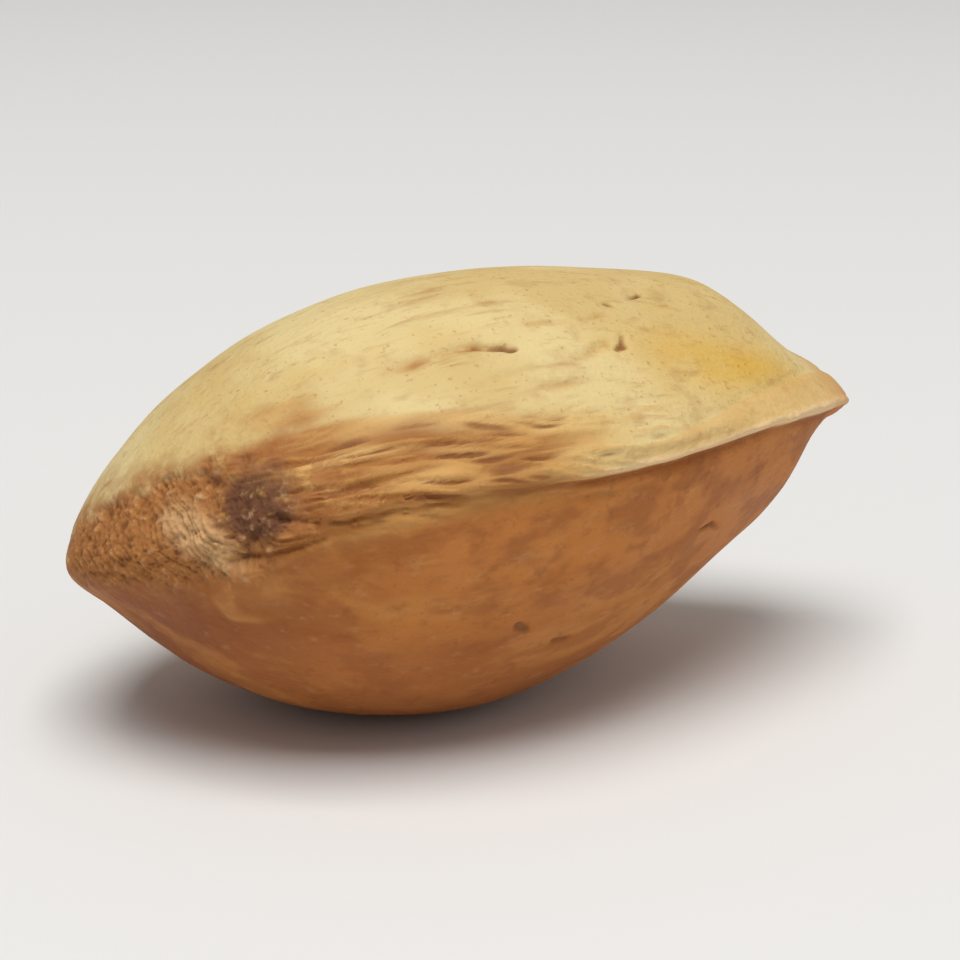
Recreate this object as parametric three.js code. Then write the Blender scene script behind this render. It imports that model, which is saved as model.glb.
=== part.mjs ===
// An almond in its shell, lying on one cheek. It is one solid, because a nut grows as one piece.
//
// Frame: millimetres, +Z up. It rests on Z = 0, and the middle of its outline is at X = Y = 0.
// The long axis runs along X: the base, where the stalk was, is at -X, and the pointed tip is at +X.
// The keel, which is the sharp seam of the shell, faces -Y. The rounder back faces +Y.
//
// The surface starts as a sphere with its poles on X. Every point of the sphere names a station along the
// nut, from 0 at the base to 1 at the tip, and a direction around it. It moves to the nut's surface there.

import * as THREE from "three";

// Driving dimensions, in millimetres and degrees.
const LENGTH = 34; // base to tip
const KEEL_SIDE = 10.4; // long axis to the keel, at its widest
const BACK_SIDE = 11.4; // long axis to the back, at its widest
const UPPER_CHEEK = 8.4; // seam plane to the crest of the upper cheek
const LOWER_CHEEK = 8.6; // seam plane to the crest of the lower cheek, which is a little fuller
const FLAT_DEPTH = 0.34; // how much of the lower cheek's crest is worn away by the flat spot it rests on
const KEEL_RISE = 19; // the keel stands this much higher than the back, as the nut rests
const TIP_RISE = 4.5; // the tip stands this much higher than the base, as the nut rests

// How each side closes: powers of the distance from the base and from the tip.
// A half makes a round end, and one makes a cone.
const KEEL_ENDS = { base: 0.5, tip: 0.8 };
const BACK_ENDS = { base: 0.5, tip: 0.72 };
const UPPER_ENDS = { base: 0.73, tip: 0.84 };
const LOWER_ENDS = { base: 0.87, tip: 1.2 };

// The section: 1 is a round edge, and above that the edge is sharper.
const KEEL_EDGE = 1.45;
const BACK_EDGE = 1.12;

// The rib on the keel, in millimetres.
const RIB_HEIGHT = 0.4;
const RIB_HALF_WIDTH = 0.5;
const RIB_START = 0.2; // station where it rises out of the stalk scar

const TIP_RADIUS = 0.45; // the blunt end of the tip

// Where a cheek swells, or pinches in where the share is negative. A share is of the cheek's height there.
const UPPER_SWELLS = [
  { at: 0.84, spread: 0.11, share: 0.18 }, // the shoulder
  { at: 0.9, spread: 0.045, share: -0.275 }, // the waist, which makes the last stretch a beak
];
const LOWER_SWELLS = [
  { at: 0.05, spread: 0.04, share: -0.2 }, // the heel, under the stalk scar
  { at: 0.85, spread: 0.05, share: 0.12 }, // the shoulder
  { at: 0.93, spread: 0.05, share: -0.49 }, // the waist
];

// The stalk scar, a shallow oval dish on the corner between the base and the keel, in millimetres.
const SCAR = {
  centre: new THREE.Vector3(1.9, -5.4, 0.3), // from the base: along the nut, towards the keel, up
  inward: new THREE.Vector3(0.745, 0.67, 0).normalize(),
  halfLength: 4.9,
  halfHeight: 2.9,
  depth: 0.5,
  reach: 3, // how far below the surface the dish looks for points, so that the far wall is left alone
};

const AROUND = 72; // faces around the nut
const ALONG = 42; // faces along the nut

const clamp01 = (x) => THREE.MathUtils.clamp(x, 0, 1);
const bump = (x, at, spread) => Math.exp(-(((x - at) / spread) ** 2));

// A side's distance from the long axis as a share of its widest: 0 at both ends, 1 at its fullest station.
function taper(station, { base, tip }) {
  const fullest = base / (base + tip);
  const most = fullest ** base * (1 - fullest) ** tip;
  return (station ** base * (1 - station) ** tip) / most;
}

// All of a cheek's swells and pinches at a station, as one factor on its height.
function swelling(station, swells) {
  return swells.reduce((factor, { at, spread, share }) => factor + share * bump(station, at, spread), 1);
}

// The small round nose that keeps the tip from being a needle, as a radius.
function nose(station) {
  const back = Math.min(1, ((1 - station) * LENGTH) / (2 * TIP_RADIUS));
  return TIP_RADIUS * Math.sqrt(1 - (1 - back) ** 2);
}

// The rib on the keel: it fades into the scar at one end and into the tip at the other.
function rib(station, height) {
  const along = THREE.MathUtils.smoothstep(station, RIB_START, RIB_START + 0.2);
  const end = 1 - THREE.MathUtils.smoothstep(station, 0.9, 1);
  return RIB_HEIGHT * along * end * bump(height, 0, RIB_HALF_WIDTH);
}

// The point of the nut's surface for a point of the unit sphere. The nut's base is at the origin.
function onShell(point) {
  const station = clamp01((1 + point.x) / 2);
  const ring = Math.hypot(point.y, point.z) || 1;
  const back = point.y / ring; // -1 at the keel, +1 at the back
  const up = point.z / ring;

  const upper = UPPER_CHEEK * taper(station, UPPER_ENDS) * swelling(station, UPPER_SWELLS);
  const lower = LOWER_CHEEK * taper(station, LOWER_ENDS) * swelling(station, LOWER_SWELLS);
  const cheek = up > 0 ? upper : lower;
  const keelSide = KEEL_SIDE * taper(station, KEEL_ENDS);
  const backSide = BACK_SIDE * taper(station, BACK_ENDS);
  const side = back < 0 ? keelSide : backSide;
  const edge = THREE.MathUtils.lerp(BACK_EDGE, KEEL_EDGE, THREE.MathUtils.smoothstep(-back, -0.6, 0.9));

  const tipNose = nose(station);
  const y = back * Math.hypot(side, tipNose);
  const z = Math.sign(up) * Math.abs(up) ** edge * Math.hypot(cheek, tipNose);
  const keelwards = back < 0 ? rib(station, z) : 0;
  return new THREE.Vector3(station * LENGTH, y - keelwards, z);
}

// Presses the stalk scar's dish into the surface.
function pressScar(point) {
  const offset = point.clone().sub(SCAR.centre);
  const below = offset.dot(SCAR.inward);
  const along = offset.x * SCAR.inward.y - offset.y * SCAR.inward.x;
  const spread = (along / SCAR.halfLength) ** 2 + (offset.z / SCAR.halfHeight) ** 2;
  if (spread < 1 && below < SCAR.reach) point.addScaledVector(SCAR.inward, SCAR.depth * (1 - spread) ** 2);
  return point;
}

function shellGeometry() {
  const geometry = new THREE.SphereGeometry(1, AROUND, ALONG);
  geometry.rotateZ(Math.PI / 2);
  const position = geometry.getAttribute("position");
  const point = new THREE.Vector3();
  for (let i = 0; i < position.count; i++) {
    const placed = pressScar(onShell(point.fromBufferAttribute(position, i)));
    position.setXYZ(i, placed.x, placed.y, placed.z);
  }
  return geometry;
}

// Turns the nut to the way it rests, sets its flat spot on Z = 0 and centres its outline.
function layDown(geometry) {
  geometry.rotateX(-THREE.MathUtils.degToRad(KEEL_RISE));
  geometry.rotateY(-THREE.MathUtils.degToRad(TIP_RISE));
  geometry.computeBoundingBox();
  const { min, max } = geometry.boundingBox;
  geometry.translate(-(min.x + max.x) / 2, -(min.y + max.y) / 2, -min.z - FLAT_DEPTH);
  const position = geometry.getAttribute("position");
  for (let i = 0; i < position.count; i++) position.setZ(i, Math.max(0, position.getZ(i)));
  geometry.computeVertexNormals();
  return geometry;
}

const shell = new THREE.MeshStandardMaterial({ color: 0xd2a871, roughness: 0.8, metalness: 0 });
const almond = new THREE.Mesh(layDown(shellGeometry()), shell);
almond.name = "almond";

const part = new THREE.Group();
part.add(almond);

export default part;
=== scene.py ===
# %% [markdown]
# # An almond in its shell
#
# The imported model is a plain, smooth nut of the right size. This lesson keeps its form and grows the
# real surface on it: the sharp keel, the torn scar where the stalk sat, the wrinkles that run out of
# the scar, and the furrows and pits of a dry, woody shell. Then it colours the shell, and lights it.
#
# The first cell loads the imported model. Everything in the scene is in metres, and the nut rests on Z =
# 0.

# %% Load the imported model
import collections
import math
import random

import bmesh
import bpy
import numpy as np
from mathutils import Matrix, Vector, noise


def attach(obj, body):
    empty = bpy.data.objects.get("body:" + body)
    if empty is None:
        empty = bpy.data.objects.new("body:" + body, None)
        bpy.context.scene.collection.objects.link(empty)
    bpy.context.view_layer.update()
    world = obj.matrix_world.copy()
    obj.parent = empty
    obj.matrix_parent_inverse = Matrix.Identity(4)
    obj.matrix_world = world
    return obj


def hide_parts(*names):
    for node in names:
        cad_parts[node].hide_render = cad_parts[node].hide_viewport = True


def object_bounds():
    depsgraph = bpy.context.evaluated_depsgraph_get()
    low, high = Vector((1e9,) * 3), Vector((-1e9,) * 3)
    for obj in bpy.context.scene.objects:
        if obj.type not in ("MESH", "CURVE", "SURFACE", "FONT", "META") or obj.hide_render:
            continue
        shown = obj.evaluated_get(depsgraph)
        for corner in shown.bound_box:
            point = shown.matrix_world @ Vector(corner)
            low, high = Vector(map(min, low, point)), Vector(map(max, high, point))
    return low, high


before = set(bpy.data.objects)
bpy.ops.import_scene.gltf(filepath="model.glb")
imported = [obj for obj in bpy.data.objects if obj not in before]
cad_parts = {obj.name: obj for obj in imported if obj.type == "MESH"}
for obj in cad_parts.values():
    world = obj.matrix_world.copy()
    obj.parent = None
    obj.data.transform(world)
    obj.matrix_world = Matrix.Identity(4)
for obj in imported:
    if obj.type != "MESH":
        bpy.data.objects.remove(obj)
cad_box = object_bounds()
plain_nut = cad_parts["almond"]
MM = 0.001  # metres in a millimetre

print("the plain nut's box, in mm:", [round((high - low) / MM, 1) for low, high in zip(*cad_box)])

# %% [markdown]
# ## The camera
#
# The camera looks at the keel from a little above, turned so that the stalk end is nearer than the tip.
# A long lens keeps the nut's proportions, as is usual with small things on a table.

# %% Camera
CAMERA_AZIMUTH = math.radians(-26)
CAMERA_ELEVATION = math.radians(16)
CAMERA_LENS = 100.0  # millimetres, on a 36 mm sensor
FILL_OF_VIEW = 0.80  # how much of the view's width the nut takes
NEAREST_SEEN = 0.01  # metres from the camera


def direction(azimuth, elevation):
    """Points away from the nut. Azimuth 0 is on the keel's side, and a quarter turn is at the tip."""
    flat = math.cos(elevation)
    return Vector((math.sin(azimuth) * flat, -math.cos(azimuth) * flat, math.sin(elevation)))


def place_camera(low, high):
    """Looks at the middle of the box, from far enough to leave a margin round it."""
    data = bpy.data.cameras.new("camera")
    data.lens = CAMERA_LENS
    data.clip_start = NEAREST_SEEN
    camera = bpy.data.objects.new("camera", data)
    bpy.context.scene.collection.objects.link(camera)
    away = direction(CAMERA_AZIMUTH, CAMERA_ELEVATION)
    seen_length = (high.x - low.x) * math.cos(CAMERA_AZIMUTH)
    distance = seen_length / FILL_OF_VIEW * CAMERA_LENS / data.sensor_width
    camera.location = (low + high) / 2 + away * distance
    camera.rotation_euler = away.to_track_quat("Z", "Y").to_euler()
    bpy.context.scene.camera = camera
    return distance


camera_distance = place_camera(*cad_box)
print("camera distance, in mm:", round(camera_distance / MM))

# %% [markdown]
# ## The nut's own directions
#
# Marks on a nut follow the nut, not the table. So each point of the surface also gets the nut's own
# measures: how far it is along the nut from the stalk end, its height above the plane of the seam, and
# its angle round the long axis. The plain nut was turned by two known angles to lie down, and turning
# back by the same angles, about the tip, gives them. The angle is 0 at the keel, 90 on the upper
# cheek's crest, 180 on the back and -90 on the lower cheek's crest.

# %% The nut's own directions
KEEL_RISE = math.radians(19)  # how far the nut is rolled, keel upwards
TIP_RISE = math.radians(4.5)  # how far the tip is raised
ROUNDING = 1.3  # the nut is this much wider than it is thick

lay_down = Matrix.Rotation(-TIP_RISE, 3, "Y") @ Matrix.Rotation(-KEEL_RISE, 3, "X")
tip_point = max((vertex.co for vertex in plain_nut.data.vertices), key=lambda co: co.x)
LENGTH = (cad_box[1].x - cad_box[0].x) / math.cos(TIP_RISE) / MM


class Surface:
    """A mesh's points in the nut's own measures, in millimetres and degrees."""

    def __init__(self, mesh):
        rest = np.zeros(len(mesh.vertices) * 3, np.float32)
        mesh.vertices.foreach_get("co", rest)
        self.rest = rest.reshape(-1, 3).astype(float)
        turned_back = (self.rest - np.array(tip_point)) @ np.array(lay_down)
        self.nut = turned_back / MM + np.array((LENGTH, 0.0, 0.0))
        self.along = self.nut[:, 0]
        self.height = self.nut[:, 2]
        self.station = self.along / LENGTH
        self.around = np.degrees(np.arctan2(self.height * ROUNDING, -self.nut[:, 1]))
        # The distance from the long axis, with the flatness taken out.
        self.girth = np.hypot(self.nut[:, 1], self.height * ROUNDING)


plain = Surface(plain_nut.data)
print("length, in mm:", round(LENGTH, 1))
print("stations:", round(plain.station.min(), 3), "to", round(plain.station.max(), 3))

# %% [markdown]
# ## Tools for marks
#
# A mark is a change of level at each point, in millimetres, where less than 0 is pressed in. Three
# small tools make them all: a soft step, smooth noise whose lumps have a real size, and the distance
# from a line drawn on the shell.

# %% Tools for marks
SEED_SHIFT = 7.31  # how far apart in the noise two seeds read it
CREST_SHARPNESS = 2.2
FAR_AWAY = 99.0  # mm, past anything on the nut


def step(low, high, value):
    """0 below low, 1 above high, and a smooth rise between."""
    share = np.clip((value - low) / (high - low), 0.0, 1.0)
    return share * share * (3.0 - 2.0 * share)


def lumps(points, size, stretch=1.0, seed=0):
    """Smooth noise from about -1 to 1. Its lumps are about `size` mm wide, and `stretch` times as long."""
    scaled = points / np.array((size * stretch, size, size)) + seed * SEED_SHIFT
    return np.array([noise.noise(point) for point in scaled.tolist()])


def ridges(points, size, stretch=1.0, seed=0):
    """Noise with sharp crests at 1 and soft valleys near 0."""
    return 1.0 - np.minimum(1.0, np.abs(lumps(points, size, stretch, seed)) * CREST_SHARPNESS)


def from_line(surface, start, end, wander=(0.0, 0.0)):
    """Distance in mm of each point from a line on the shell, and its place along the line, 0 to 1.

    Each end is (station, angle round the nut). The wander bends the line, so it isn't ruler straight."""
    turn = (surface.around - start[1] + 180.0) % 360.0 - 180.0
    reach = ((end[1] - start[1] + 180.0) % 360.0 - 180.0) / 180.0 * math.pi * surface.girth
    x = surface.along - start[0] * LENGTH + wander[0]
    y = np.radians(turn) * surface.girth + wander[1]
    run = (end[0] - start[0]) * LENGTH
    share = np.clip((x * run + y * reach) / (run * run + reach * reach), 0.0, 1.0)
    return np.hypot(x - share * run, y - share * reach), share


def from_path(surface, stops, wander=(0.0, 0.0)):
    """Distance in mm from a bent line through (station, angle, depth) stops, and the line's depth there."""
    nearest = np.full(len(surface.along), FAR_AWAY)
    depth = np.zeros(len(surface.along))
    for start, end in zip(stops, stops[1:]):
        distance, share = from_line(surface, start[:2], end[:2], wander)
        closer = distance < nearest
        nearest = np.where(closer, distance, nearest)
        depth = np.where(closer, start[2] + (end[2] - start[2]) * share, depth)
    return nearest, depth


print("from_line finds the keel at", round(float(from_line(plain, (0.4, 0), (0.6, 0))[0].min()), 2), "mm")

# %% [markdown]
# ## Where the furrows and pits are
#
# Short furrows and pits are where the bundles that fed the growing nut passed through the shell. Each
# one is a line through a few stops, with a half width, and a pit is only a very short and deep one. The
# ones on the side that faces the camera are placed one by one. The others come from a seeded draw, over
# the cheeks and the back.

# %% Furrows and pits
#    half width in mm, then the stops: station, angle, depth in mm
FURROWS = [
    (0.34, [(0.318, 38.5, 0.10), (0.352, 38.5, 0.18), (0.385, 39.5, 0.08)]),
    (0.20, [(0.385, 40.0, 0.14), (0.430, 41.0, 0.20), (0.460, 39.0, 0.12)]),
    (0.24, [(0.495, 29.0, 0.06), (0.540, 31.0, 0.12), (0.580, 34.5, 0.16)]),
    (0.16, [(0.500, 45.0, 0.10), (0.530, 45.5, 0.12), (0.550, 44.7, 0.05)]),
    (0.14, [(0.570, 45.0, 0.06), (0.592, 46.9, 0.12), (0.606, 47.5, 0.05)]),
    (0.15, [(0.160, 10.0, 0.10), (0.220, 7.5, 0.22), (0.300, 4.0, 0.06)]),
    (0.13, [(0.170, 14.5, 0.06), (0.240, 12.0, 0.18), (0.310, 9.5, 0.05)]),
    (0.13, [(0.260, 3.5, 0.06), (0.330, 1.5, 0.18), (0.420, -0.5, 0.05)]),
    (0.36, [(0.200, 19.0, 0.08), (0.225, 21.0, 0.16), (0.250, 22.5, 0.05)]),
    (0.30, [(0.335, 12.0, 0.05), (0.375, 13.0, 0.16), (0.430, 18.0, 0.06)]),
    (0.28, [(0.440, 20.0, 0.03), (0.490, 22.0, 0.10), (0.540, 23.0, 0.03)]),
    (0.22, [(0.400, 27.0, 0.03), (0.450, 29.0, 0.09), (0.490, 30.0, 0.03)]),
    (0.20, [(0.140, 4.5, 0.20), (0.192, -1.5, 0.34), (0.235, -2.5, 0.34), (0.330, -3.0, 0.08)]),
    (0.18, [(0.112, -11.5, 0.28), (0.160, -8.5, 0.24), (0.215, -4.5, 0.10)]),
    (0.19, [(0.425, -8.5, 0.08), (0.489, -9.7, 0.18), (0.568, -12.5, 0.10)]),
    (0.20, [(0.310, -6.5, 0.05), (0.360, -6.0, 0.14), (0.415, -7.0, 0.04)]),
]
PITS = [
    (0.18, [(0.440, 40.8, 0.06), (0.458, 39.5, 0.18), (0.466, 37.8, 0.22)]),
    (0.17, [(0.607, 38.0, 0.12), (0.602, 34.5, 0.20), (0.590, 32.5, 0.14)]),
    (0.15, [(0.617, 52.6, 0.20), (0.621, 52.6, 0.20)]),
    (0.16, [(0.655, 57.0, 0.08), (0.676, 59.5, 0.20)]),
    (0.17, [(0.664, -37.5, 0.12), (0.684, -38.2, 0.26), (0.704, -42.5, 0.08)]),
    (0.26, [(0.412, -46.0, 0.20), (0.424, -47.5, 0.20)]),
    (0.22, [(0.470, -55.5, 0.16), (0.484, -56.0, 0.16)]),
]
LIP_HALF_WIDTH = 0.30
LIP = [
    (0.165, -12.0, 0.06),
    (0.122, -16.0, 0.20),
    (0.106, -26.0, 0.20),
    (0.119, -35.0, 0.14),
    (0.150, -35.0, 0.04),
]
SEEN_PITS = len(PITS)
HIDDEN_FURROWS = 30
HIDDEN_PITS = 40
HIDDEN_SIDE = (95.0, 262.0)  # angles from the upper crest, over the back, to the lower crest

draw = random.Random(11)
for _ in range(HIDDEN_FURROWS):
    place = draw.uniform(0.14, 0.74)
    angle = draw.uniform(*HIDDEN_SIDE)
    run = draw.uniform(0.05, 0.20)
    turn = draw.uniform(-5.0, 5.0)
    deep = draw.uniform(0.05, 0.18)
    middle_stop = (place + 0.6 * run, angle + draw.uniform(-3.0, 3.0), deep)
    stops = [(place, angle, 0.3 * deep), middle_stop, (place + run, angle + turn, 0.2 * deep)]
    FURROWS.append((draw.uniform(0.16, 0.34), stops))
for _ in range(HIDDEN_PITS):
    place = draw.uniform(0.12, 0.86)
    angle = draw.uniform(*HIDDEN_SIDE)
    deep = draw.uniform(0.08, 0.24)
    far_end = (place + draw.uniform(0.002, 0.016), angle + draw.uniform(-1.5, 1.5), 0.5 * deep)
    PITS.append((draw.uniform(0.10, 0.22), [(place, angle, deep), far_end]))
print("furrows:", len(FURROWS), " pits:", len(PITS))

# %% [markdown]
# ## A finer skin
#
# The plain nut's faces are about a millimetre across, too coarse to carry a wrinkle. A voxel remesh
# lays an even net of small squares over it, with no poles and no seams, so detail comes out the same
# everywhere. The copy is merged and smoothed by a subdivision surface first, or the remesh would keep
# the flat faces of the plain nut.

# %% A finer skin
SKIN_STEP = 0.25 * MM  # the size of the small squares
SAME_POINT = 0.001 * MM


def bake_modifiers(thing):
    """Applies every modifier, so that the mesh itself has their shape."""
    depsgraph = bpy.context.evaluated_depsgraph_get()
    mesh = bpy.data.meshes.new_from_object(thing.evaluated_get(depsgraph))
    old = thing.data
    thing.modifiers.clear()
    thing.data = mesh
    bpy.data.meshes.remove(old)


def even_skin(source, name):
    net = bmesh.new()
    net.from_mesh(source.data)
    bmesh.ops.remove_doubles(net, verts=net.verts, dist=SAME_POINT)
    any_angle = {"angle_face_threshold": math.pi, "angle_shape_threshold": math.pi}
    bmesh.ops.join_triangles(net, faces=net.faces, **any_angle)
    mesh = bpy.data.meshes.new(name)
    net.to_mesh(mesh)
    net.free()
    skin = bpy.data.objects.new(name, mesh)
    bpy.context.scene.collection.objects.link(skin)
    rounder = skin.modifiers.new("rounder", "SUBSURF")
    rounder.levels = rounder.render_levels = 2
    remesh = skin.modifiers.new("net", "REMESH")
    remesh.mode = "VOXEL"
    remesh.voxel_size = SKIN_STEP
    even = skin.modifiers.new("even", "SMOOTH")
    even.factor = 0.5
    even.iterations = 4
    bake_modifiers(skin)
    return skin


shell = even_skin(plain_nut, "almond_shell")
print("faces in the even skin:", len(shell.data.polygons))

# %% [markdown]
# ## Smaller squares where the detail is
#
# Small squares everywhere would make a heavy mesh. So the squares are halved only where the keel, the
# scar, the wrinkles, the furrows and the pits will be. They are halved again on the scar, on the keel's
# crest and in the pits that face the camera.

# %% Where the scar is
SCAR_CENTRE = (1.9, -5.4, 0.5)  # mm, in the nut's own measures
SCAR_INWARD = Vector((0.745, 0.67, 0.0)).normalized()
SCAR_HALF_LENGTH = 6.6
SCAR_HALF_HEIGHT = 2.5
SCAR_DEEPEST = 8.0  # the scar is looked for no further than this behind its middle
OFF_THE_SCAR = 9.0
KEEL_REACH = 75.0  # degrees round from the keel that its marks can take


def scar_place(surface):
    """Each point's place in the scar's oval: along it in mm, and how far out it is.

    How far out is 0 in the middle, 1 on the edge, and OFF_THE_SCAR on the nut's far side."""
    offset = surface.nut - np.array(SCAR_CENTRE)
    run = offset @ np.array((SCAR_INWARD.y, -SCAR_INWARD.x, 0.0))
    fat_end = np.clip(0.92 + 0.07 * run, 0.75, 1.12)  # the oval is an egg, fatter towards the tip
    out = np.hypot((run + 0.8) / SCAR_HALF_LENGTH, offset[:, 2] / (SCAR_HALF_HEIGHT * fat_end))
    return run, np.where(offset @ np.array(SCAR_INWARD) < SCAR_DEEPEST, out, OFF_THE_SCAR)


def crest_height(station):
    """The keel's crest sags a little below the seam plane in the middle of the nut, in mm."""
    return -0.55 * np.exp(-(((station - 0.57) / 0.19) ** 2))


print("the scar is", 2 * SCAR_HALF_LENGTH, "mm by", 2 * SCAR_HALF_HEIGHT, "mm")

# %% Halve the squares


def wants_small(surface):
    near_keel = np.abs(surface.around) < KEEL_REACH
    wrinkled = (surface.height > -1.7) & (surface.height < 3.7) & (surface.station < 0.72)
    wanted = scar_place(surface)[1] < 1.3
    wanted |= near_keel & wrinkled
    wanted |= near_keel & (np.abs(surface.height) < 1.7)
    wanted |= from_path(surface, LIP)[0] < 0.8
    for half_width, stops in FURROWS:
        wanted |= from_path(surface, stops)[0] < 1.4 * half_width + 0.15
    for radius, stops in PITS:
        wanted |= from_path(surface, stops)[0] < 1.6 * radius + 0.3
    return wanted


def wants_smallest(surface):
    near_keel = np.abs(surface.around) < KEEL_REACH
    from_crest = surface.height - crest_height(surface.station)
    wanted = scar_place(surface)[1] < 1.05
    wanted |= near_keel & (np.abs(from_crest) < 0.35) & (surface.station > 0.3)
    for radius, stops in PITS[:SEEN_PITS]:
        wanted |= from_path(surface, stops)[0] < 1.5 * radius + 0.3
    return wanted


def halve(thing, wanted):
    net = bmesh.new()
    net.from_mesh(thing.data)
    net.verts.ensure_lookup_table()
    edges = [edge for edge in net.edges if wanted[edge.verts[0].index] and wanted[edge.verts[1].index]]
    bmesh.ops.subdivide_edges(net, edges=edges, cuts=1, use_grid_fill=True)
    net.to_mesh(thing.data)
    net.free()


for wants in (wants_small, wants_smallest):
    halve(shell, wants(Surface(shell.data)))
    print("faces in the refined skin:", len(shell.data.polygons))
skin = Surface(shell.data)
drift = (0.25 * lumps(skin.nut, 2.4, 1.0, 1), 0.25 * lumps(skin.nut, 2.4, 1.0, 2))

# %% [markdown]
# ## The uneven shell
#
# No cheek is a perfect curve. Broad swells a centimetre wide and small dents a few millimetres wide
# break up the highlights, and long faint streaks follow the fibres from end to end.

# %% The uneven shell
level = 0.15 * lumps(skin.nut, 8.0, 1.5, 3)
level += 0.05 * lumps(skin.nut, 3.0, 1.6, 4)
level += 0.025 * lumps(skin.nut, 0.8, 6.0, 5)
level += 0.05 * lumps(skin.nut, 1.5, 4.0, 36)
print("swells, in mm:", round(float(level.min()), 2), "to", round(float(level.max()), 2))

# %% [markdown]
# ## The scar
#
# The stalk tore away from the corner between the base and the keel. It left an oval patch of broken
# fibres, like coarse felt, with a ragged edge. Two sizes of noise make its grain. Ridged noise, drawn
# out across the patch, makes the strands in its middle, because its crests are sharp. A brown stain
# runs out past the patch, and below it the smooth skin ends in a raised lip. The finish paints the lip
# pale: a painted highlight along its ridge, over a golden tan.

# %% The scar
scar_run, reach = scar_place(skin)
ragged = reach + 0.14 * lumps(skin.nut, 1.3, 1.0, 6) + 0.10 * lumps(skin.nut, 0.5, 1.5, 7)
scar = 1.0 - step(0.72, 1.04, ragged)
lean = scar_run + 0.65 * (skin.height - 0.1)  # the strands lean over to the tip's side as they go down
bend = 0.55 * lumps(skin.nut, 1.5, 1.0, 25) + 0.12 * lumps(skin.nut, 0.5, 1.0, 29)
strands = ridges(np.stack([skin.height, lean + bend, np.zeros(len(lean))], axis=1), 0.20, 5.0, 8)
grain = 0.5 * lumps(skin.nut, 0.38, 1.6, 9) + 0.35 * lumps(skin.nut, 0.2, 1.0, 10)
grain += 0.3 * lumps(skin.nut, 0.12, 1.0, 35)
holes = step(0.20, 0.6, lumps(skin.nut, 0.75, 1.2, 26))
pale_strands = np.exp(-(((lean - 1.25) / 1.3) ** 2) - (((skin.height - 0.1) / 1.7) ** 2))
torn = np.clip(0.5 + 0.55 * grain + 0.28 * (strands - 0.4) * (0.4 + pale_strands) - 0.26 * holes, 0.0, 1.0)
mound = 0.14 * lumps(skin.nut, 1.8, 1.0, 16)
level += scar * (0.32 * torn - 0.34 + mound)
stain = 1.0 - step(0.85, 1.50, reach + 0.35 * lumps(skin.nut, 1.0, 1.8, 17))
print("points in the scar:", int((scar > 0.5).sum()))

# %% The lip
lip_distance, lip_height = from_path(skin, LIP, drift)
lip = lip_height * np.exp(-((lip_distance / LIP_HALF_WIDTH) ** 2))
level += lip * (0.8 + 0.4 * lumps(skin.nut, 0.8, 1.0, 27))
print("the lip's height, in mm:", round(float(lip.max()), 2))

# %% [markdown]
# ## The keel
#
# The keel is the seam of the shell, and its rib is already in the plain nut. What it lacks is its
# sharpness: a thin crest with nicks along it, a crease close under the crest, and above it a pale
# ribbon that widens into the beak.

# %% The keel
KEEL_SIDE = 80.0  # degrees round from the keel where the shell still counts as its side
CREST_WIDTH = 0.17  # mm
CREASE_BELOW = 0.38  # mm under the crest

on_keel_side = np.abs(skin.around) < KEEL_SIDE
keel_length = step(0.26, 0.42, skin.station) * (1.0 - step(0.96, 0.995, skin.station)) * on_keel_side
above_crest = skin.height - crest_height(skin.station) + 0.07 * lumps(skin.nut, 2.2, 1.0, 21)
crest = np.exp(-((above_crest / CREST_WIDTH) ** 2)) * keel_length
nicks = 0.8 + 0.5 * lumps(skin.nut, 0.7, 2.0, 14)
crease = np.exp(-(((above_crest + CREASE_BELOW) / CREST_WIDTH) ** 2)) * keel_length
crease *= step(-0.5, 0.2, lumps(skin.nut, 2.6, 2.0, 22) + 0.25)
ribbon_width = 0.55 + 0.85 * step(0.50, 0.90, skin.station)
ribbon_top = np.exp(-(((above_crest - ribbon_width) / 0.20) ** 2)) * keel_length
ribbon_top *= step(-0.6, 0.3, lumps(skin.nut, 2.0, 2.0, 23))
ribbon = step(-0.1, 0.05, above_crest) * (1.0 - step(-0.15, 0.10, above_crest - ribbon_width))
ribbon *= keel_length
ribbon *= step(0.45, 0.62, skin.station)
level += 0.24 * crest * nicks - 0.15 * crease - 0.07 * ribbon_top + 0.04 * ribbon
print("points on the keel's crest:", int((crest > 0.5).sum()))

# %% [markdown]
# ## The wrinkles
#
# From the scar's far end the fibres run on under the skin, and show as a band of wrinkles along the
# keel. They spread over the upper cheek and fade before the tip. Stretched ridged noise draws them, on
# a sheet that is laid along the keel and fans out away from the scar.

# %% The wrinkles
BAND_STATIONS = [0.10, 0.16, 0.22, 0.30, 0.43, 0.56, 0.72]
BAND_TOPS = [3.2, 4.3, 4.8, 3.8, 2.8, 2.1, 1.3]  # mm that the wrinkles reach up the cheek there

fan = 0.8 + 0.5 * step(0.1, 0.5, skin.station)
middle = 1.4 - 1.6 * step(0.14, 0.60, skin.station)  # the straightest fibre, which sinks to the keel
across = (skin.height - middle) / fan + 0.5 * lumps(skin.nut, 3.4, 1.8, 11)
across += 0.12 * lumps(skin.nut, 1.0, 2.0, 18)
sheet = np.stack([skin.along, np.zeros(len(across)), across], axis=1)
cords = ridges(sheet, 0.42, 11.0, 12)
fine_cords = ridges(sheet, 0.22, 11.0, 13)
band_top = np.interp(skin.station, BAND_STATIONS, BAND_TOPS) + 0.6 * lumps(skin.nut, 2.2, 2.0, 19)
streaky = lumps(sheet, 0.6, 8.0, 33)
band = step(-1.5, -0.4, skin.height)
band *= 1.0 - step(0.45, 1.05, skin.height / band_top + 0.35 * streaky)
band *= step(0.10, 0.15, skin.station) * (1.0 - step(0.55, 0.76, skin.station))
band *= np.abs(skin.around) < KEEL_REACH
patchy = 0.55 + 0.45 * step(-0.3, 0.3, lumps(skin.nut, 1.5, 3.0, 20))
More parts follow.
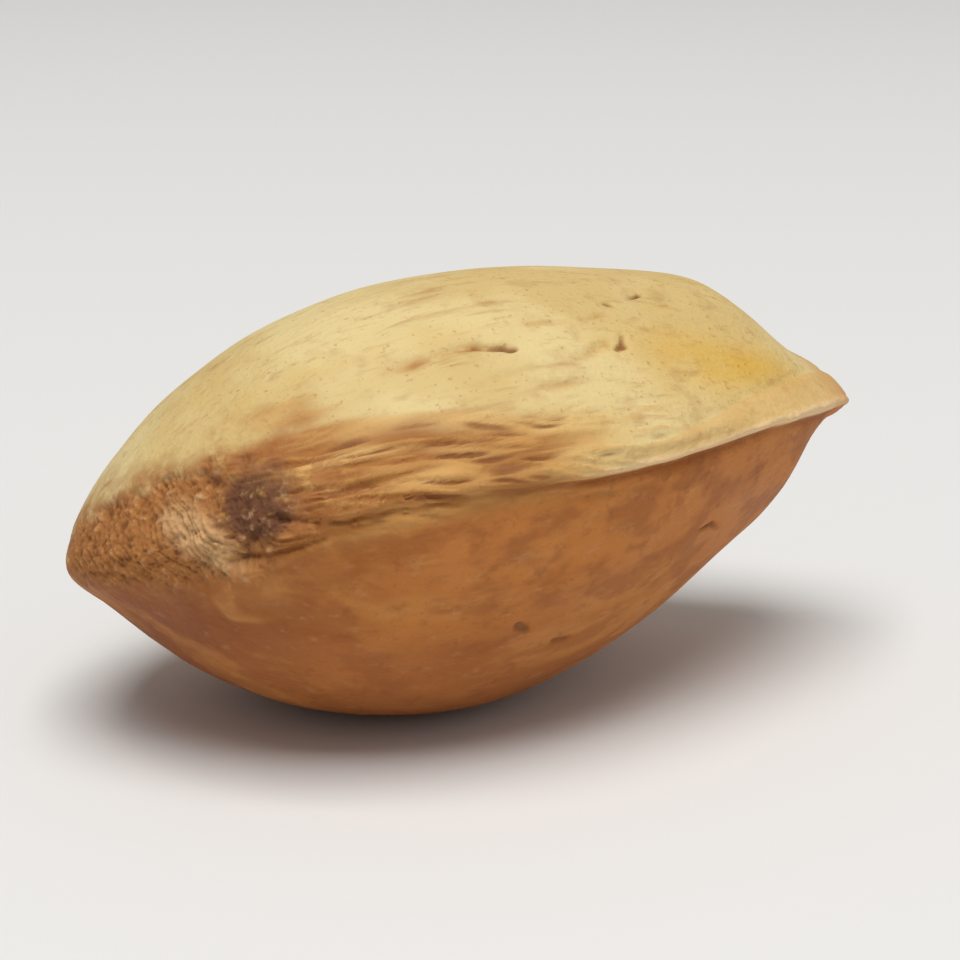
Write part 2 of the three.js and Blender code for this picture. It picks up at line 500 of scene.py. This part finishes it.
wrinkle = band * patchy * (0.5 * cords + 0.5 * fine_cords - 0.46) * (1.0 - scar) * (1.0 - 0.75 * ribbon)
near_scar = 1.0 + 0.6 * (1.0 - step(0.16, 0.40, skin.station))
faded = 1.0 - step(0.40, 0.68, skin.station)
level += 0.26 * wrinkle * near_scar * (0.6 + 0.4 * faded)
browned = band * (1.0 - step(0.20, 0.66, skin.station))
streaks = np.clip(0.62 + 0.9 * streaky + 0.5 * lumps(skin.nut, 1.2, 2.5, 28), 0.0, 1.0)
print("points in the wrinkles:", int((band > 0.5).sum()))

# %% [markdown]
# ## Press in the furrows and the pits
#
# A furrow is a soft hollow. A pit has steeper walls and a dark floor.

# %% Furrow and pit levels
broken = np.clip(0.75 + 0.75 * lumps(skin.nut, 1.2, 2.0, 30), 0.1, 1.2)
frayed = [side + 0.10 * lumps(skin.nut, 0.45, 1.4, seed) for side, seed in zip(drift, (31, 32))]
furrow = np.zeros(len(level))
for half_width, stops in FURROWS:
    distance, depth = from_path(skin, stops, frayed)
    furrow = np.maximum(furrow, depth * np.exp(-((distance / half_width) ** 2)))
pit = np.zeros(len(level))
for radius, stops in PITS:
    distance, depth = from_path(skin, stops, frayed)
    pit = np.maximum(pit, depth * np.exp(-((distance / radius) ** 2)))
furrow *= broken
level -= furrow + pit
print("deepest furrow and pit, in mm:", round(float(furrow.max()), 2), round(float(pit.max()), 2))

# %% [markdown]
# ## The back seam
#
# The shell's second seam runs down the rounder back. It is only a fine groove, and it dies out before
# the stalk end.

# %% The back seam
back_line = (np.abs(skin.around) - 180.0) / 180.0 * math.pi * skin.girth
back_seam = np.exp(-(((back_line + 0.8 * drift[0]) / 0.22) ** 2)) * (np.abs(skin.around) > 120.0)
back_seam *= step(0.16, 0.3, skin.station) * (1.0 - step(0.93, 0.99, skin.station))
level -= 0.09 * back_seam * (0.8 + 0.5 * lumps(skin.nut, 2.0, 1.0, 15))
print("points on the back seam:", int((back_seam > 0.5).sum()))

# %% [markdown]
# ## Press the marks into the skin
#
# Each point moves along its own normal by its level. The flat spot has to stay on the table, so no
# point goes below Z = 0. The marks are also kept as attributes of the mesh, which the finish reads to
# colour each one.

# %% Press the marks into the skin
# The 'lower' mark, under the keel's crest and low on the back, carries painted shade and warm bounce light
# on the lower cheek, over some of the nut's own browner tone.
shade_edge = 2.0 * lumps(skin.nut, 4.5, 1.4, 24) + 0.6 * lumps(skin.nut, 1.4, 2.0, 34)
shade = skin.height + shade_edge * (1.0 - on_keel_side)
brown_from = np.interp(skin.station, [0.05, 0.25, 0.80, 0.95], [-0.4, -3.6, -3.6, -0.6])
under_crest = 1.0 - step(-0.40, np.interp(skin.station, [0.90, 1.0], [-0.06, 0.9]), above_crest)
lower = np.where(on_keel_side, under_crest, 1.0 - step(brown_from, 1.6, shade))
# Painted shade: the lower cheek is made darker still near the stalk end and towards the bottom.
by_stalk = 1.0 - step(0.05, 0.34, skin.station)
underneath = 0.6 - 0.6 * step(-7.5, -3.5, skin.height)
ochre_patch = np.exp(-(((skin.station - 0.76) / 0.11) ** 2) - (((skin.around - 25.0) / 13.0) ** 2))
KEPT_MARKS = {
    "scar": scar,
    "stain": stain,
    "torn": torn,
    "pale_strands": pale_strands,
    "bruise": np.exp(-(((scar_run - 3.8) / 1.5) ** 2) - (((skin.height - 1.1) / 1.6) ** 2)),
    "lip": np.clip(lip / 0.14, 0.0, 1.0),
    "browned": browned,
    "streaks": browned * streaks,
    "valley": np.clip(-3.0 * wrinkle * near_scar, 0.0, 1.0) * (0.35 + 0.65 * faded),
    "cord": np.clip(2.8 * wrinkle * near_scar, 0.0, 1.0),
    "crease": np.clip(crease + 0.4 * ribbon_top + 0.8 * back_seam, 0.0, 1.0),
    "crest": crest * step(0.38, 0.58, skin.station),
    "ribbon": ribbon,
    "furrow": np.clip(furrow / 0.24, 0.0, 1.0),
    "pit": np.clip(pit / 0.20, 0.0, 1.0),
    "lower": lower,
    "shaded": lower * np.maximum(by_stalk, underneath),
    "ochre": ochre_patch,
    "under_scar": np.exp(-(((skin.station - 0.145) / 0.045) ** 2) - (((skin.around + 19.0) / 9.0) ** 2)),
    "tip": step(0.86, 0.97, skin.station),
    "back": step(85.0, 150.0, np.abs(skin.around)),
}


def press(thing, moves_mm):
    """Moves the skin's points along their normals, and keeps them above the table."""
    mesh = thing.data
    normals = np.zeros(len(mesh.vertices) * 3, np.float32)
    mesh.vertex_normals.foreach_get("vector", normals)
    moved = skin.rest + normals.reshape(-1, 3) * (moves_mm * MM)[:, None]
    moved[:, 2] = np.maximum(moved[:, 2], 0.0)
    mesh.vertices.foreach_set("co", moved.astype(np.float32).ravel())
    mesh.update()


def keep_mark(mesh, name, values):
    attribute = mesh.attributes.new(name, "FLOAT", "POINT")
    attribute.data.foreach_set("value", values.astype(np.float32))


press(shell, level)
for mark_name, mark in KEPT_MARKS.items():
    keep_mark(shell.data, mark_name, mark)
shell.data.polygons.foreach_set("use_smooth", [True] * len(shell.data.polygons))
triangles = sum(len(polygon.vertices) - 2 for polygon in shell.data.polygons)
print("moves, in mm:", round(float(level.min()), 2), "to", round(float(level.max()), 2))
print("triangles:", triangles)

# %% [markdown]
# ## The finish: almond shell
#
# The shell is dry wood with no polish. It scatters light almost evenly, so its roughness is high and
# its highlights are weak. Its colour is straw, and warm brown in the wrinkles' valleys, the furrows and
# the pits. Patterns are read from Object coordinates, turned to the nut's own axes by a
# Mapping node, so that streaks run along the nut.

# %% Tools for the finish


def srgb(code):
    """A hex colour as screens use it, turned to the linear values that shaders use."""
    parts = [int(code[i : i + 2], 16) / 255 for i in (1, 3, 5)]
    return [part / 12.92 if part <= 0.04045 else ((part + 0.055) / 1.055) ** 2.4 for part in parts] + [1.0]


def add_node(tree, kind, settings=None, **inputs):
    """Adds a node, sets its options, and sets or links its inputs. i0 names the first input."""
    node = tree.nodes.new(kind)
    for name, value in (settings or {}).items():
        setattr(node, name, value)
    for name, value in inputs.items():
        key = int(name[1:]) if name[0] == "i" and name[1:].isdigit() else name.replace("_", " ")
        socket = node.inputs[key]
        if isinstance(value, bpy.types.NodeSocket):
            tree.links.new(value, socket)
        else:
            socket.default_value = value
    return node


print("mid grey in linear light:", round(srgb("#808080")[0], 3))

# %% The browns of an almond shell
STRAW = srgb("#d2b576")
PALE_STRAW = srgb("#dfc88e")
OCHRE = srgb("#d9aa40")
TAN = srgb("#c0742f")
LIGHT_TAN = srgb("#cd8d4a")
BAND_BROWN = srgb("#a0652b")
STAIN_BROWN = srgb("#a0622f")
VALLEY_BROWN = srgb("#7f481f")
RIBBON_TAN = srgb("#d4a05a")
PIT_BROWN = srgb("#8a5528")
FURROW_TAN = srgb("#b8813f")
CREST_CREAM_HIGHLIGHT = srgb("#e6c494")
WARM_BROWN = srgb("#9a5826")
RED_BROWN = srgb("#88481d")
DARK_BROWN = srgb("#5c3317")
FELT_BROWN = srgb("#a86e3c")
PALE_FIBRE = srgb("#d6ad7c")
PURPLE_BROWN = srgb("#5f3c2c")
print("straw in linear light:", [round(part, 3) for part in STRAW[:3]])

# %% [markdown]
# ## Coats of colour
#
# The shell is painted as a model maker would do it, in thin coats, one over another. Each coat has a
# colour and a mask. The mask is one of the marks on the mesh, or noise whose lumps have a size in
# millimetres, or both. The noise can be drawn out along the nut, as fibres are. A coat covers nothing
# where its mask is below `low`, and `most` above `high`.

# %% Coats of colour
LUMPS_TO_SCALE = 0.6  # a noise of this scale, over a size, has lumps of about that size
STREAKS = (2, 3, 7)  # how many times longer than wide the drawn-out patterns are
NOISE_ROUGHNESS = 0.6

Coat = collections.namedtuple("Coat", "colour mark size drawn low high most")

SHELL_COATS = [
    Coat(PALE_STRAW, None, 5.0, 1, 0.40, 0.62, 1.00),  # broad pale patches
    Coat(OCHRE, None, 2.4, 7, 0.52, 0.74, 0.30),  # long yellowish streaks
    Coat(LIGHT_TAN, "back", 3.5, 2, 0.38, 0.64, 0.55),  # the back is a little browner
    Coat(WARM_BROWN, "back", 0.9, 3, 0.52, 0.72, 0.35),
    Coat(OCHRE, "ochre", 2.0, 1, 0.10, 0.45, 0.85),  # the yellow patch behind the beak
    # Painted shade and warm bounce light on the lower cheek, over some of its own browner tone.
    Coat(TAN, "lower", None, 1, 0.00, 1.00, 0.95),  # the lower cheek is browner
    # Painted shade, red-brown near the stalk end and low on the lower cheek.
    Coat(RED_BROWN, "shaded", 2.0, 2, 0.05, 0.45, 0.95),
    Coat(LIGHT_TAN, "lower", 1.6, 3, 0.48, 0.66, 0.45),  # soft pale blotches
    Coat(WARM_BROWN, "lower", 1.1, 2, 0.46, 0.62, 0.60),  # mottling of the lower cheek
    Coat(RED_BROWN, "lower", 0.5, 1, 0.54, 0.70, 0.35),
    Coat(PALE_FIBRE, "lower", 0.30, 2, 0.58, 0.74, 0.18),  # pale flecks on it
    Coat(WARM_BROWN, None, 0.4, 7, 0.54, 0.76, 0.24),  # fibre streaks
    Coat(WARM_BROWN, None, 0.8, 1, 0.52, 0.74, 0.22),  # mottling all over
    Coat(WARM_BROWN, None, 0.20, 7, 0.54, 0.72, 0.16),  # single fibres
    Coat(WARM_BROWN, None, 0.14, 1, 0.60, 0.72, 0.40),  # pores a tenth of a millimetre wide
    Coat(RIBBON_TAN, "browned", None, 1, 0.00, 0.70, 0.75),
    Coat(BAND_BROWN, "streaks", None, 1, 0.02, 0.60, 0.95),  # the wrinkles next to the scar are stained
    Coat(VALLEY_BROWN, "valley", None, 1, 0.08, 0.80, 0.85),
    Coat(RIBBON_TAN, "cord", None, 1, 0.25, 1.00, 0.50),
    # Painted shadow in the crease under the keel's crest; the groove above the ribbon and the back seam are
    # darkened by the same coat.
    Coat(RED_BROWN, "crease", None, 1, 0.20, 1.00, 0.60),
    Coat(RIBBON_TAN, "ribbon", None, 1, 0.20, 0.90, 0.45),
    # A pale crest, made lighter still by a painted highlight where the keel's edge catches the light.
    Coat(CREST_CREAM_HIGHLIGHT, "crest", None, 1, 0.30, 0.90, 0.85),
    # A painted highlight along the lip's ridge, over a paler golden tan.
    Coat(LIGHT_TAN, "lip", None, 1, 0.05, 0.90, 0.60),
    Coat(LIGHT_TAN, "under_scar", 0.7, 2, 0.35, 0.60, 0.75),
    Coat(TAN, "tip", None, 1, 0.00, 1.00, 0.30),
    Coat(FURROW_TAN, "furrow", 0.5, 1, 0.25, 0.55, 0.95),
    Coat(WARM_BROWN, "furrow", None, 1, 0.45, 1.00, 0.70),
    Coat(PIT_BROWN, "pit", None, 1, 0.20, 0.90, 0.90),
    Coat(STAIN_BROWN, "stain", 0.35, 1, 0.28, 0.58, 0.90),
]
FELT_COATS = [
    Coat(DARK_BROWN, None, 1.3, 1, 0.54, 0.72, 0.22),
    Coat(PALE_FIBRE, "pale_strands", None, 1, 0.15, 0.85, 0.68),
    Coat(PURPLE_BROWN, "bruise", None, 1, 0.10, 0.60, 0.88),
    Coat(PALE_FIBRE, "torn", None, 1, 0.56, 0.95, 0.75),
    Coat(OCHRE, None, 0.25, 1, 0.58, 0.72, 0.25),  # dry specks
]


def lay_coats(tree, colour, coats, places):
    """Lays each coat over the colour before it, and gives the last one's socket."""
    soft = {"interpolation_type": "SMOOTHSTEP"}
    for coat in coats:
        mask = None
        if coat.mark:
            mask = add_node(tree, "ShaderNodeAttribute", {"attribute_name": coat.mark}).outputs["Fac"]
        value = mask
        if coat.size:
            scale = LUMPS_TO_SCALE / (coat.size * MM)
            look = {"Vector": places[coat.drawn], "Scale": scale}
            look |= {"Detail": 3.0, "Roughness": NOISE_ROUGHNESS}
            value = add_node(tree, "ShaderNodeTexNoise", None, **look).outputs["Fac"]
        limits = {"i1": coat.low, "i2": coat.high, "i4": coat.most}
        share = add_node(tree, "ShaderNodeMapRange", soft, i0=value, **limits).outputs[0]
        if coat.mark and coat.size:
            multiply = {"operation": "MULTIPLY"}
            share = add_node(tree, "ShaderNodeMath", multiply, i0=share, i1=mask).outputs[0]
        mix = add_node(tree, "ShaderNodeMix", {"data_type": "RGBA"}, i0=share, i6=colour, i7=coat.colour)
        colour = mix.outputs[2]
    return colour


print("coats:", len(SHELL_COATS) + len(FELT_COATS))

# %% [markdown]
# ## The finish of the shell
#
# All patterns read Object coordinates. A Mapping node turns them back to the nut's own axes, and a
# second one squeezes them along the nut, which draws a pattern out into streaks. Grain and fibres too
# fine for the mesh go in two bumps.

# %% The finish of the shell
GRAIN_SIZE = 0.14 * MM
FIBRE_SIZE = 0.22 * MM
RUBBED_SIZE = 1.5 * MM


def almond_shell_finish():
    material = bpy.data.materials.new("dry_almond_shell")
    material.use_nodes = True
    tree = material.node_tree
    shader = tree.nodes["Principled BSDF"]
    shader.inputs["Specular IOR Level"].default_value = 0.3

    coordinates = add_node(tree, "ShaderNodeTexCoord").outputs["Object"]
    turn_back = lay_down.transposed().to_euler()
    turned = add_node(tree, "ShaderNodeMapping", None, Vector=coordinates, Rotation=turn_back)
    places = {1: turned.outputs[0]}
    for times in STREAKS:
        squeeze = (1.0 / times, 1.0, 1.0)
        squeezed = add_node(tree, "ShaderNodeMapping", None, Vector=places[1], Scale=squeeze)
        places[times] = squeezed.outputs[0]

    smooth_skin = lay_coats(tree, STRAW, SHELL_COATS, places)
    torn_mark = add_node(tree, "ShaderNodeAttribute", {"attribute_name": "torn"}).outputs["Fac"]
    deep = add_node(tree, "ShaderNodeMapRange", None, i0=torn_mark, i1=0.08, i2=0.50).outputs[0]
    mixed = {"data_type": "RGBA"}
    felt_base = add_node(tree, "ShaderNodeMix", mixed, i0=deep, i6=DARK_BROWN, i7=FELT_BROWN)
    felt = lay_coats(tree, felt_base.outputs[2], FELT_COATS, places)
    scar_mark = add_node(tree, "ShaderNodeAttribute", {"attribute_name": "scar"}).outputs["Fac"]
    colour = add_node(tree, "ShaderNodeMix", mixed, i0=scar_mark, i6=smooth_skin, i7=felt)
    tree.links.new(colour.outputs[2], shader.inputs["Base Color"])

    # Where the skin is whole and has been rubbed, it is a little smoother. The felt is quite dull.
    look = {"Vector": places[3], "Scale": LUMPS_TO_SCALE / RUBBED_SIZE, "Detail": 4.0}
    rubbed = add_node(tree, "ShaderNodeTexNoise", None, **look).outputs["Fac"]
    dull = add_node(tree, "ShaderNodeMapRange", None, i0=rubbed, i1=0.35, i2=0.65, i3=0.58, i4=0.78)
    larger = {"operation": "MAXIMUM"}
    dullest = add_node(tree, "ShaderNodeMath", larger, i0=dull.outputs[0], i1=scar_mark).outputs[0]
    tree.links.new(dullest, shader.inputs["Roughness"])

    look = {"Vector": places[1], "Scale": LUMPS_TO_SCALE / GRAIN_SIZE, "Detail": 4.0}
    grains = add_node(tree, "ShaderNodeTexNoise", None, **look).outputs["Fac"]
    look = {"Vector": places[7], "Scale": LUMPS_TO_SCALE / FIBRE_SIZE, "Detail": 3.0}
    fibres = add_node(tree, "ShaderNodeTexNoise", None, **look).outputs["Fac"]
    relief = {"Height": grains, "Strength": 0.7, "Distance": 0.08 * MM}
    grained = add_node(tree, "ShaderNodeBump", None, **relief).outputs[0]
    relief = {"Height": fibres, "Strength": 0.6, "Distance": 0.10 * MM, "Normal": grained}
    bumps = add_node(tree, "ShaderNodeBump", None, **relief)
    tree.links.new(bumps.outputs[0], shader.inputs["Normal"])
    return material


shell.data.materials.clear()
shell.data.materials.append(almond_shell_finish())
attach(shell, "root")
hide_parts("almond")
print("nodes in the finish:", len(shell.data.materials[0].node_tree.nodes))

# %% [markdown]
# ## Table and light
#
# The nut lies on a plain pale table. A wide soft light high above, a little on the camera's side,
# lights the upper cheek, and the table throws a weaker light back on the lower cheek. A dim light from
# the keel's side, nearer the tip, opens the shadows.

# %% Table
TABLE_HALF = 1.5  # metres


def make_table():
    net = bmesh.new()
    bmesh.ops.create_grid(net, x_segments=1, y_segments=1, size=TABLE_HALF)
    mesh = bpy.data.meshes.new("table")
    net.to_mesh(mesh)
    net.free()
    table = bpy.data.objects.new("table", mesh)
    bpy.context.scene.collection.objects.link(table)
    material = bpy.data.materials.new("matt_white_laminate")
    material.use_nodes = True
    shader = material.node_tree.nodes["Principled BSDF"]
    shader.inputs["Base Color"].default_value = srgb("#e6e5e3")
    shader.inputs["Roughness"].default_value = 0.7
    mesh.materials.append(material)


make_table()
print("table width, in m:", TABLE_HALF * 2)

# %% Light


def area_light(name, azimuth, elevation, distance, size, watts, colour):
    """A square soft light that faces the nut. The two angles are in degrees."""
    data = bpy.data.lights.new(name, "AREA")
    data.size = size
    data.energy = watts
    data.color = srgb(colour)[:3]
    light = bpy.data.objects.new(name, data)
    bpy.context.scene.collection.objects.link(light)
    away = direction(math.radians(azimuth), math.radians(elevation))
    light.location = away * distance
    light.rotation_euler = away.to_track_quat("Z", "Y").to_euler()


area_light("window", -30, 74, 0.9, 0.6, 7.4, "#ffffff")
area_light("fill", 30, 30, 0.9, 0.6, 0.5, "#ffffff")

world = bpy.data.worlds.new("room")
world.use_nodes = True
world.node_tree.nodes["Background"].inputs["Color"].default_value = srgb("#f6f6f4")
world.node_tree.nodes["Background"].inputs["Strength"].default_value = 0.3
bpy.context.scene.world = world
bpy.context.scene.view_settings.view_transform = "Standard"
print("lights:", [light.name for light in bpy.data.lights])
